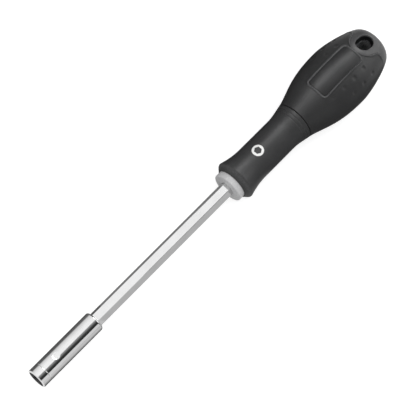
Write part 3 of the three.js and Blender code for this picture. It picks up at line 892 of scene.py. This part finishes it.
class SCREWDRIVER_OT_hex_bar(ScrewdriverOperator, bpy.types.Operator):
    """Make the plated hexagon bar with the swaged wings on its tail"""

    bl_idname = "screwdriver.hex_bar"
    bl_label = "Hexagon Bar"

    end_chamfer = 0.3 * MM
    # Rubbing in front of the collar
    rub = 0.25
    rub_reach = 6 * MM

    def execute(self, context):
        settings = context.scene.screwdriver
        b = settings.blade
        angles = around(segments=144)
        front, tail = place("hex_bar", 0), place("hex_bar", 1)
        corner = b.bar_flats / math.sqrt(3) - b.bar_corner
        section = np.minimum(hexagon_radius(b.bar_flats, angles), corner)
        bevelled = section - self.end_chamfer
        wing_end = tail - b.wing_from_tail
        wing_start = wing_end - b.wing_length
        stops = (front + self.end_chamfer, wing_start, wing_end, tail - self.end_chamfer)
        rings = [ring_points(front, 0, angles), ring_points(front, bevelled, angles)]
        for x in graded(stops, (4 * MM, 0.5 * MM, 1 * MM)):
            ring = ring_points(x, section, angles)
            spread = min((x - wing_start) / b.wing_taper, (wing_end - x) / b.wing_taper, 1)
            if spread > 0:
                reach = b.bar_flats / 2 + (b.wing_span - b.bar_flats) / 2 * spread
                flat = np.abs(ring[:, 2]) < b.wing_thickness / 2
                ring[flat, 1] = np.sign(ring[flat, 1]) * np.maximum(np.abs(ring[flat, 1]), reach)
            rings.append(ring)
        rings += [ring_points(tail, bevelled, angles), ring_points(tail, 0, angles)]
        chrome = plated_steel("bar_chrome", settings.finishes.bar, roughness=0.06, line_stretch=(60, 1, 1))
        make_piece("hexagon_bar", [skin(rings)], [chrome],
                   ["hex_bar"], crease=25, wear_and_painted_light=self.worn_and_painted_light)
        return {"FINISHED"}

    def worn_and_painted_light(self, p):
        return np.exp(-np.abs(p[:, 0] - place("front_collar", 0)) / self.rub_reach) * self.rub


class SCREWDRIVER_OT_front_collar(ScrewdriverOperator, bpy.types.Operator):
    """Make the light grey collar where the bar enters the handle"""

    bl_idname = "screwdriver.front_collar"
    bl_label = "Front Collar"

    bar_play = 0.1 * MM
    hole_bevel = 0.12 * MM
    rear_bend = 0.2 * MM
    # The collar is slimmer by this draft at its front, over this run
    draft = 0.001 * MM
    draft_run = 2.5 * MM
    # Radius of a ring of points on each flat face, as a share of the collar's
    face_middle = 0.62
    rub_reach = 0.4 * MM

    def execute(self, context):
        settings = context.scene.screwdriver
        radius = settings.handle.collar_radius
        angles = around(segments=144)
        front, back = place("front_collar", 0), place("front_collar", 1)
        hole = hexagon_radius(settings.blade.bar_flats + self.bar_play, angles)
        profile = rounded([
            (front, radius * self.face_middle, 0),
            (front, radius - self.draft, settings.handle.collar_edge),
            (front + self.draft_run, radius, 0),
            (back, radius, self.rear_bend),
            (back, radius * self.face_middle, 0),
        ], steps=7)
        rings = [ring_points(x, r, angles) for x, r in profile]
        rings += [ring_points(back, hole, angles), ring_points(front + self.hole_bevel, hole, angles),
                  ring_points(front, hole + self.hole_bevel, angles)]

        def worn_and_painted_light(p):
            return np.exp(-np.abs(np.hypot(p[:, 1], p[:, 2]) - radius) / self.rub_reach)

        grey = moulded_plastic("collar_grey", settings.finishes.collar, roughness=0.42,
                               grain=0.3 * MM, depth=0.006 * MM, dust_and_painted_light=0.6)
        make_piece("handle_collar", [skin(rings, closed=True)], [grey],
                   ["front_collar"], crease=35, wear_and_painted_light=worn_and_painted_light)
        return {"FINISHED"}


class SCREWDRIVER_OT_neck_sleeve(ScrewdriverOperator, bpy.types.Operator):
    """Make the neck with its flared lip, shallow rings and printed drive symbol"""

    bl_idname = "screwdriver.neck_sleeve"
    bl_label = "Neck Sleeve"

    ring_count = 2
    # Start and end of a shallow ring's slope, from its middle
    ring_slope = (0.35 * MM, 0.1 * MM)
    # Thickness of the printed symbol
    film = 0.03 * MM
    # Rubbing of the bevel's edge, the lip and the rear edge, as (strength, reach); the paler bevel edge and
    # lip are partly a painted highlight
    edge_rub_and_highlight = (0.6, 0.7 * MM)
    lip_rub_and_highlight = (0.45, 9 * MM)
    rear_rub = (0.5, 0.4 * MM)

    def execute(self, context):
        settings = context.scene.screwdriver
        h = settings.handle
        lip, end = place("neck_sleeve", 0), place("neck_sleeve", 1)
        step = place("front_collar", 1)
        seam = end + h.joint_gap / 2
        bevel = lip + h.lip_bevel
        stops = (lip, bevel, bevel + 4 * MM, seam - 8 * MM, end - SEAM_EDGE, end)
        places = graded(stops, (0.4 * MM, 0.2 * MM, 0.8 * MM, 0.1 * MM, 0.05 * MM))
        radii = np.interp(places, *handle_profile(h))
        for n in range(self.ring_count):
            off = np.abs(places - (seam - h.ring_from_seam - n * h.ring_spacing))
            radii -= h.ring_depth * smoothstep(*self.ring_slope, off)
        radii -= seam_rounding(end - places)
        profile = [*zip(places, radii), (end, h.neck_bore), (step, h.neck_bore), (step, h.lip_bore)]
        bevel_edge = lip + h.lip_crest - 1.2 * MM

        def worn_and_painted_light(p):
            rubs = ((bevel_edge, self.edge_rub_and_highlight), (lip, self.lip_rub_and_highlight), (end, self.rear_rub))
            return sum(strength * swell(p[:, 0], x, reach) for x, (strength, reach) in rubs)

        black = moulded_plastic("neck_black", settings.finishes.neck, roughness=0.42,
                                grain=0.22 * MM, depth=0.01 * MM, gloss=0.3)
        make_piece("handle_neck", [turned(profile, segments=160, closed=True)], [black],
                   ["neck_sleeve"], crease=38, wear_and_painted_light=worn_and_painted_light)
        self.drive_symbol(settings)
        return {"FINISHED"}

    def drive_symbol(self, settings):
        """A printed ring with a hexagon in it, which says what kind of bit fits."""
        h = settings.handle
        angles = around(segments=96)
        centre = place("front_collar", 0) + h.symbol_from_collar
        inner = hexagon_radius(h.symbol_flats, angles)
        radius = h.neck_radius + self.film
        rings = []
        for t in np.linspace(0, 1, 9):
            out = inner + t * (h.symbol_radius - inner)
            turn = (h.symbol_offset + out * np.sin(angles)) / h.neck_radius
            x = centre + out * np.cos(angles)
            rings.append(np.stack([x, radius * np.sin(turn), radius * np.cos(turn)], axis=1))
        make_piece("drive_symbol_print", [skin(rings)], [printed_ink("symbol_ink", settings.finishes.ink)])


class SCREWDRIVER_OT_palm_grip(ScrewdriverOperator, bpy.types.Operator):
    """Make the soft grip with its label windows, beaded edges and dimples"""

    bl_idname = "screwdriver.palm_grip"
    bl_label = "Palm Grip"

    # How far the grip stops short of its own edges, and where the beads crest behind them
    clip = 0.04 * MM
    crest = 0.5 * MM
    # Fall of the beads outside their crests, as shares of their width
    label_fall = 0.36
    tongue_fall = 0.45
    # The tongue's bead fades out between these angles from the middle of a label side
    bead_fade = (math.radians(48), math.radians(78))
    # Rows of dimples: degrees from a label side's middle, millimetres behind the label's front, and count
    dimple_rows = ((33.3, 3.0, 4), (54.2, 12.9, 3))
    # Depth of a dimple level with the label's front, as a share of one level with its rear
    shallow = 0.4
    # Rubbing of the beads, whose paler crests are partly a painted highlight of light catching them, and of
    # the bulb's front
    bead_rub_reach = 0.4 * MM
    front_rub = 0.25
    front_rub_reach = 12 * MM

    def execute(self, context):
        settings = context.scene.screwdriver
        h = settings.handle
        palm = Palm(h)

        def height(x, a):
            from_label = palm.from_label(x, a)
            label, tongue = self.label_bead(h, from_label), self.tongue_bead(palm, x, a)
            bead = np.where(from_label < self.crest, label, np.maximum(label, tongue))
            return bead - seam_rounding(x - palm.start) - self.dimples(palm, x, a)

        def off_window(x, a):
            return palm.from_label(x, a) - self.clip

        def off_tongue(x, a):
            return palm.from_tongue(x, a) - self.clip

        def worn_and_painted_light(p):
            x, angle = p[:, 0], np.arctan2(p[:, 1], p[:, 2])
            from_edge = np.minimum(palm.from_label(x, angle), palm.from_tongue(x, angle))
            on_front = self.front_rub * swell(x, palm.label_start, self.front_rub_reach)
            return swell(from_edge, self.crest, self.bead_rub_reach) + on_front

        # Rows of (inset, level) that turn the edges down into the tool
        label_rows = [(0.02 * MM, -h.label_recess - 0.03 * MM), (0.03 * MM, -h.label_recess - 0.1 * MM),
                      (0.03 * MM, -h.palm_wall)]
        tongue_rows = [(0.02 * MM, -0.03 * MM), (0.03 * MM, -0.12 * MM), (0.03 * MM, -h.palm_wall)]
        outer = moulded_sheet(palm, palm_places(palm), palm_angles(), height,
                              [(off_window, label_rows), (off_tongue, tongue_rows)])
        radius = palm.radius(palm.start)
        front_face = skin([ring_points(palm.start, radius - inset, around(segments=160))
                           for inset in (SEAM_EDGE, h.palm_wall)])
        # The beads' crests pale strongly: partly rubbing, partly a painted highlight
        black = moulded_plastic("grip_black", settings.finishes.grip, roughness=0.44,
                                grain=0.3 * MM, depth=0.014 * MM, dust_and_painted_light=2.2, gloss=0.32)
        make_piece("handle_palm_grip", [outer, front_face], [black],
                   ["palm_grip"], crease=60, wear_and_painted_light=worn_and_painted_light)
        return {"FINISHED"}

    def label_bead(self, h, distance):
        """Height of the bead round a label window, which dips to the pad at the window's edge."""
        dip = 1 - np.cos(math.pi * np.clip((self.crest - distance) / self.crest, 0, 1))
        inner = h.bead_height - (h.bead_height + h.label_recess) / 2 * dip
        outer = h.bead_height * swell(distance, self.crest, h.bead_width * self.label_fall)
        return np.where(distance < self.crest, inner, outer)

    def tongue_bead(self, palm, x, a):
        """Height of the bead along the grip's rear edge."""
        h = palm.h
        off_top = np.abs((a + math.pi / 2) % math.pi - math.pi / 2)
        bead = h.tongue_bead * swell(palm.from_tongue(x, a), self.crest, h.bead_width * self.tongue_fall)
        return bead * (1 - smoothstep(*self.bead_fade, off_top))

    def dimples(self, palm, x, a):
        """Depth of the dimples, which get shallower towards the front of their row."""
        h = palm.h
        depth = np.zeros_like(x)
        radius = palm.radius(x)
        for degrees, first, count in self.dimple_rows:
            turn = math.radians(degrees)
            for side in (turn, -turn, math.pi - turn, math.pi + turn):
                for n in range(count):
                    behind = first * MM + n * h.dimple_pitch
                    along = x - (palm.label_start + behind)
                    round_it = radius * ((a - side + math.pi) % (2 * math.pi) - math.pi)
                    off = np.hypot(along, round_it) / (h.dimple_diameter / 2)
                    fade = self.shallow + (1 - self.shallow) * behind / h.label_length
                    depth += fade * h.dimple_depth * np.clip(1 - off * off, 0, 1) ** 1.5
        return depth


class SCREWDRIVER_OT_handle_core(ScrewdriverOperator, bpy.types.Operator):
    """Make the hard core: its body, label pads, and the butt with the hang hole"""

    bl_idname = "screwdriver.handle_core"
    bl_label = "Handle Core"

    # How far the core's edges reach below the soft grip
    root = 1.5 * MM
    # Rounding of the tongue's edge, as rows of (inset, level)
    edge_round = 0.15 * MM
    edge_rows = ((0.05 * MM, -0.01 * MM), (0.1 * MM, -0.04 * MM),
                 (0.14 * MM, -0.1 * MM), (0.15 * MM, -0.18 * MM))
    # Width of the label pads' bevelled edge
    pad_edge = 0.05 * MM
    # Plain plastic between the body's end and the hang hole
    hole_wall = 1.2 * MM
    # Where the hang hole's wall with painted shade and painted light begins, and the levels of its rows of
    # points
    wall_depth = 1 * MM
    wall_levels = (-0.8 * MM, -1.6 * MM, -2.6 * MM, -3.4 * MM, -7 * MM, None)
    # Painted light on that wall, growing with depth as if light came in through the hole, at depths in
    # millimetres below the upper and the lower label side
    upper_painted_light = ((2.7, 0), (3.3, 0.5), (7, 0.7), (12, 1))
    lower_painted_light = ((0.8, 0), (1.6, 0.8), (12, 1))
    # Rubbing of the butt, which pales it towards its end: partly rubbing, partly a painted highlight of the
    # lit butt
    rub = 0.9
    rub_reach = 9 * MM

    def execute(self, context):
        settings = context.scene.screwdriver
        finishes = settings.finishes
        palm = Palm(settings.handle)
        angles = palm_angles()
        core = moulded_plastic("core_black", finishes.core, roughness=0.42,
                               grain=0.26 * MM, depth=0.012 * MM, gloss=0.5)
        pad = moulded_plastic("label_pad_black", finishes.pad, roughness=0.32,
                              grain=0.2 * MM, depth=0.005 * MM, gloss=0.21)
        # The hang hole's wall has its own very dark colour as painted shade, paled deeper in by painted light
        hole = moulded_plastic("hole_wall_painted_shade_and_light", finishes.hole, roughness=0.55,
                               grain=0.3 * MM, depth=0.012 * MM, dust_and_painted_light=34, gloss=0.1)

        # Painted light deep in the hang hole, and a paler butt end that is partly rubbing and partly a
        # painted highlight
        def worn_and_painted_light(p):
            depth = palm.depth(p)
            butt_rub_and_highlight = smoothstep(palm.butt - self.rub_reach, palm.butt, p[:, 0]) * self.rub
            upper, lower = (np.interp(depth / MM, *zip(*dust_and_painted_light)) for dust_and_painted_light in (self.upper_painted_light, self.lower_painted_light))
            painted_hole_light = np.where(p[:, 2] > 0, upper, lower)
            return np.where(depth > self.wall_depth, painted_hole_light, butt_rub_and_highlight)

        parts = [self.body(palm), self.pads(palm, angles), *self.butt(palm, angles)]
        make_piece("handle_core_moulding", parts, [core, pad, core, hole],
                   ["handle_core"], crease=60, wear_and_painted_light=worn_and_painted_light)
        return {"FINISHED"}

    def body(self, palm):
        """The neck's spigot and the body under the soft grip, as far as the hang hole."""
        h = palm.h
        spigot = h.neck_bore - h.joint_gap
        front = place("handle_core", 0)
        rear = palm.hole - h.hole_length / 2 - self.hole_wall
        inset = h.palm_wall + h.joint_gap + h.flat_depth
        profile = [(front, 0), (front, spigot), (palm.start, spigot)]
        profile += [(x, palm.radius(x) - inset) for x in graded((palm.start, rear), [1 * MM])]
        profile.append((rear, 0))
        return turned(profile, segments=96)

    def pads(self, palm, angles):
        """The two label pads, each a little below the grip's surface."""
        h = palm.h
        level = -h.label_recess
        margin = h.parting_gap + self.pad_edge

        def in_window(x, a):
            return -palm.from_label(x, a) - margin

        def sunk(x, a):
            return np.full_like(x, level)

        rows = [(0.03 * MM, level - 0.01 * MM), (self.pad_edge, level - 0.04 * MM),
                (self.pad_edge, -h.palm_wall - self.root)]
        return moulded_sheet(palm, palm_places(palm), angles, sunk, [(in_window, rows)])

    def butt(self, palm, angles):
        """The tongue and the rounded butt, and the wall of the hang hole through them."""
        h = palm.h
        rim = h.hole_round

        def in_tongue(x, a):
            return -palm.from_tongue(x, a) - h.parting_gap - self.edge_round

        def off_hole(x, a):
            return palm.from_hole(x, a) - rim

        def flush(x, a):
            return np.zeros_like(x)

        tongue = graded((palm.label_end, palm.past_edge), [0.22 * MM])
        places = np.concatenate([tongue, palm.places[palm.places > palm.past_edge + 0.05 * MM]])
        edge_rows = [*self.edge_rows, (self.edge_round, -h.palm_wall - self.root)]
        bends = np.linspace(0, math.pi / 2, 9)[1:]
        hole_rows = [(rim * math.sin(t), -rim * (1 - math.cos(t))) for t in bends]
        hole_rows += [(rim, level) for level in self.wall_levels]
        points, faces = moulded_sheet(palm, places, angles, flush,
                                      [(in_tongue, edge_rows), (off_hole, hole_rows)])
        hole_reach = h.hole_length / 2 + 2 * MM
        near_hole = np.hypot(points[:, 0] - palm.hole, points[:, 1]) < hole_reach
        sunk = (palm.depth(points) > self.wall_depth) & near_hole
        shown = [face for face in faces if not sunk[list(face)].any()]
        wall = [face for face in faces if sunk[list(face)].any()]
        return (points, shown), (points, wall)


class SCREWDRIVER_OT_stage(ScrewdriverOperator, bpy.types.Operator):
    """Set the pale floor, the soft studio light and the camera"""

    bl_idname = "screwdriver.stage"
    bl_label = "Studio Stage"

    # Where along the palm the floor touches it, and how far the floor lies below the tool
    rest_share = 0.6
    floor_gap = 0.02 * MM
    # In millimetres
    sensor_width = 36
    paper_grey = 0.5
    paper_roughness = 0.9
    paper_gloss = 0.1

    def execute(self, context):
        s = context.scene.screwdriver.stage
        butt = (place("handle_core", 1), 0, 0)
        context.scene.view_settings.view_transform = "Standard"
        self.floor(s)
        self.surround(context.scene, s)
        self.lamp("overhead_softbox", s.softbox_place, s.softbox_aim, (s.softbox_length, s.softbox_width),
                  s.softbox_power)
        self.lamp("butt_fill", s.fill_place, butt, (s.fill_size, s.fill_size), s.fill_power)
        self.cards()
        self.camera(context.scene, s)
        return {"FINISHED"}

    def lie(self):
        """Where the floor lies: the tool rests on it by the mouth's rim and the palm's lower label side."""
        mouth = Vector((place("bit_socket", 0), 0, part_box("bit_socket")[0].z))
        start, end = place("palm_grip", 0), place("palm_grip", 1)
        palm = Vector((start * (1 - self.rest_share) + end * self.rest_share, 0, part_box("palm_grip")[0].z))
        tilt = math.atan2(mouth.z - palm.z, palm.x - mouth.x)
        return Matrix.Translation(palm - Vector((0, 0, self.floor_gap))) @ Matrix.Rotation(tilt, 4, "Y")

    def sheet(self, name, points, faces, levels, material):
        """A flat or folded sheet over the floor, with a brightness for each of its faces."""
        lie = self.lie()
        mesh = bpy.data.meshes.new(name)
        mesh.from_pydata([(x - lie.translation.x, y, z) for x, y, z in points], [], faces)
        mesh.attributes.new("glow", "FLOAT", "FACE").data.foreach_set("value", levels)
        mesh.materials.append(material)
        sheet = bpy.data.objects.new(name, mesh)
        sheet.matrix_world = lie
        bpy.context.scene.collection.objects.link(sheet)
        return sheet

    def glow(self, tree):
        """The brightness that a sheet's faces carry."""
        node = tree.nodes.new("ShaderNodeAttribute")
        node.attribute_name = "glow"
        return node.outputs["Fac"]

    def seen_by(self, tree, *rays):
        """One to rays of the named kinds, and zero to others."""
        path = tree.nodes.new("ShaderNodeLightPath")
        seen = path.outputs[rays[0]]
        for ray in rays[1:]:
            either = tree.nodes.new("ShaderNodeMath")
            either.operation = "MAXIMUM"
            tree.links.new(seen, either.inputs[0])
            tree.links.new(path.outputs[ray], either.inputs[1])
            seen = either.outputs["Value"]
        return seen

    def floor(self, s):
        """A wide pale floor that keeps the tool's soft shadow and shows painted shade beside the tool in
        reflections.
        """
        along, across = {-FLOOR_REACH, FLOOR_REACH}, {-FLOOR_REACH, FLOOR_REACH}
        for x, y, _ in FLOOR_PAINTED_SHADES:
            along.update(x)
            across.update(y)
        along, across = sorted(along), sorted(across)
        faces, levels = [], []
        for i, (x0, x1) in enumerate(zip(along, along[1:])):
            for k, (y0, y1) in enumerate(zip(across, across[1:])):
                first = i * len(across) + k
                faces.append((first, first + len(across), first + len(across) + 1, first + 1))
                shades = [level for x, y, level in FLOOR_PAINTED_SHADES
                          if x[0] <= x0 and x1 <= x[1] and y[0] <= y0 and y1 <= y[1]]
                levels.append(shades[0] if shades else 1)
        points = [(x, y, 0) for x in along for y in across]
        floor = self.sheet("studio_floor", points, faces, levels, self.paper(s))

    def paper(self, s):
        """Pale paper, with white added to what the camera sees and its faces' painted shade in reflections.
        """
        material = bpy.data.materials.new("floor_paper")
        material.use_nodes = True
        tree = material.node_tree
        paper = tree.nodes["Principled BSDF"]
        paper.inputs["Base Color"].default_value = (*[self.paper_grey] * 3, 1)
        paper.inputs["Roughness"].default_value = self.paper_roughness
        paper.inputs["Specular IOR Level"].default_value = self.paper_gloss
        paper.inputs["Emission Color"].default_value = (1, 1, 1, 1)
        white = tree.nodes.new("ShaderNodeMath")
        white.operation = "MULTIPLY"
        white.inputs[1].default_value = s.floor_white
        mirrored = tree.nodes.new("ShaderNodeEmission")
        either = tree.nodes.new("ShaderNodeMixShader")
        for start, end in (
            (self.seen_by(tree, "Is Camera Ray", "Is Transmission Ray"), white.inputs[0]),
            (white.outputs["Value"], paper.inputs["Emission Strength"]),
            (self.glow(tree), mirrored.inputs["Strength"]),
            (self.seen_by(tree, "Is Glossy Ray"), either.inputs["Fac"]),
            (paper.outputs["BSDF"], either.inputs[1]),
            (mirrored.outputs["Emission"], either.inputs[2]),
            (either.outputs["Shader"], tree.nodes["Material Output"].inputs["Surface"]),
        ):
            tree.links.new(start, end)
        return material

    def surround(self, scene, s):
        """Even light from all round, white to the camera and in reflections."""
        world = bpy.data.worlds.new("studio_surround")
        world.use_nodes = True
        scene.world = world
        tree = world.node_tree
        background = tree.nodes["Background"]
        background.inputs["Color"].default_value = (1, 1, 1, 1)
        level = tree.nodes.new("ShaderNodeMapRange")
        level.inputs["To Min"].default_value = s.ambient
        level.inputs["To Max"].default_value = 1
        white = self.seen_by(tree, "Is Camera Ray", "Is Transmission Ray", "Is Glossy Ray")
        tree.links.new(white, level.inputs["Value"])
        tree.links.new(level.outputs["Result"], background.inputs["Strength"])

    def cards(self):
        """Dark and bright cards round the tool, which only reflections show. One also shades the handle."""
        material = bpy.data.materials.new("studio_card")
        material.use_nodes = True
        tree = material.node_tree
        shader = tree.nodes["Principled BSDF"]
        shader.inputs["Base Color"].default_value = (0, 0, 0, 1)
        shader.inputs["Specular IOR Level"].default_value = 0
        shader.inputs["Emission Color"].default_value = (1, 1, 1, 1)
        tree.links.new(self.glow(tree), shader.inputs["Emission Strength"])
        for name, reach, section, levels in STUDIO_CARDS:
            points = [(x, y, z) for y, z in section for x in reach]
            faces = [(i, i + 1, i + 3, i + 2) for i in range(0, len(points) - 2, 2)]
            card = self.sheet(name, points, faces, levels, material)
            card.visible_camera = card.visible_shadow = False
            card.visible_diffuse = name == SHADE_CARD

    def axes(self, spot, aim):
        """The way along the tool, square to a line of sight, and the way back along that line."""
        back = (Vector(spot) - Vector(aim)).normalized()
        return (Vector((1, 0, 0)) - back * back.x).normalized(), back

    def put(self, data, spot, *axes):
        """A lamp or camera at a spot, turned by its right, up and back axes."""
        thing = bpy.data.objects.new(data.name, data)
        thing.matrix_world = Matrix.Translation(spot) @ Matrix(axes).transposed().to_4x4()
        bpy.context.scene.collection.objects.link(thing)
        return thing

    def lamp(self, name, spot, aim, sides, power):
        """A soft rectangular light that faces a point, its first side along the tool."""
        light = bpy.data.lights.new(name, "AREA")
        light.shape = "RECTANGLE"
        light.size, light.size_y = sides
        light.energy = power
        along, back = self.axes(spot, aim)
        self.put(light, spot, along, back.cross(along), back)

    def camera(self, scene, s):
        """The camera stands over the tip's side, turned so that the butt points up and to the right."""
        data = bpy.data.cameras.new("photo_camera")
        data.lens, data.sensor_width = s.camera_lens, self.sensor_width
        along, back = self.axes(s.camera_place, s.camera_aim)
        across = along.cross(back)
        right, up = (along + across).normalized(), (along - across).normalized()
        scene.camera = self.put(data, s.camera_place, right, up, back)


class SCREWDRIVER_PT_panel(bpy.types.Panel):
    """Lists the pieces of the screwdriver"""

    bl_idname = "SCREWDRIVER_PT_panel"
    bl_label = "Screwdriver"
    bl_space_type = "VIEW_3D"
    bl_region_type = "UI"
    bl_category = "Screwdriver"

    def draw(self, context):
        for operator in OPERATORS:
            self.layout.operator(operator.bl_idname)


OPERATORS = (
    SCREWDRIVER_OT_bit_socket,
    SCREWDRIVER_OT_bit_hold,
    SCREWDRIVER_OT_hex_bar,
    SCREWDRIVER_OT_front_collar,
    SCREWDRIVER_OT_neck_sleeve,
    SCREWDRIVER_OT_palm_grip,
    SCREWDRIVER_OT_handle_core,
    SCREWDRIVER_OT_stage,
)
SETTINGS = (BladeSizes, HandleSizes, Finishes, StageSettings, ScrewdriverSettings)
CLASSES = (*SETTINGS, *OPERATORS, SCREWDRIVER_PT_panel)


def register():
    for cls in CLASSES:
        bpy.utils.register_class(cls)
    bpy.types.Scene.screwdriver = PointerProperty(type=ScrewdriverSettings)


def unregister():
    del bpy.types.Scene.screwdriver
    for cls in reversed(CLASSES):
        bpy.utils.unregister_class(cls)


def main():
    register()
    for operator in OPERATORS:
        group, name = operator.bl_idname.split(".")
        getattr(getattr(bpy.ops, group), name)()


if __name__ == "__main__":
    main()
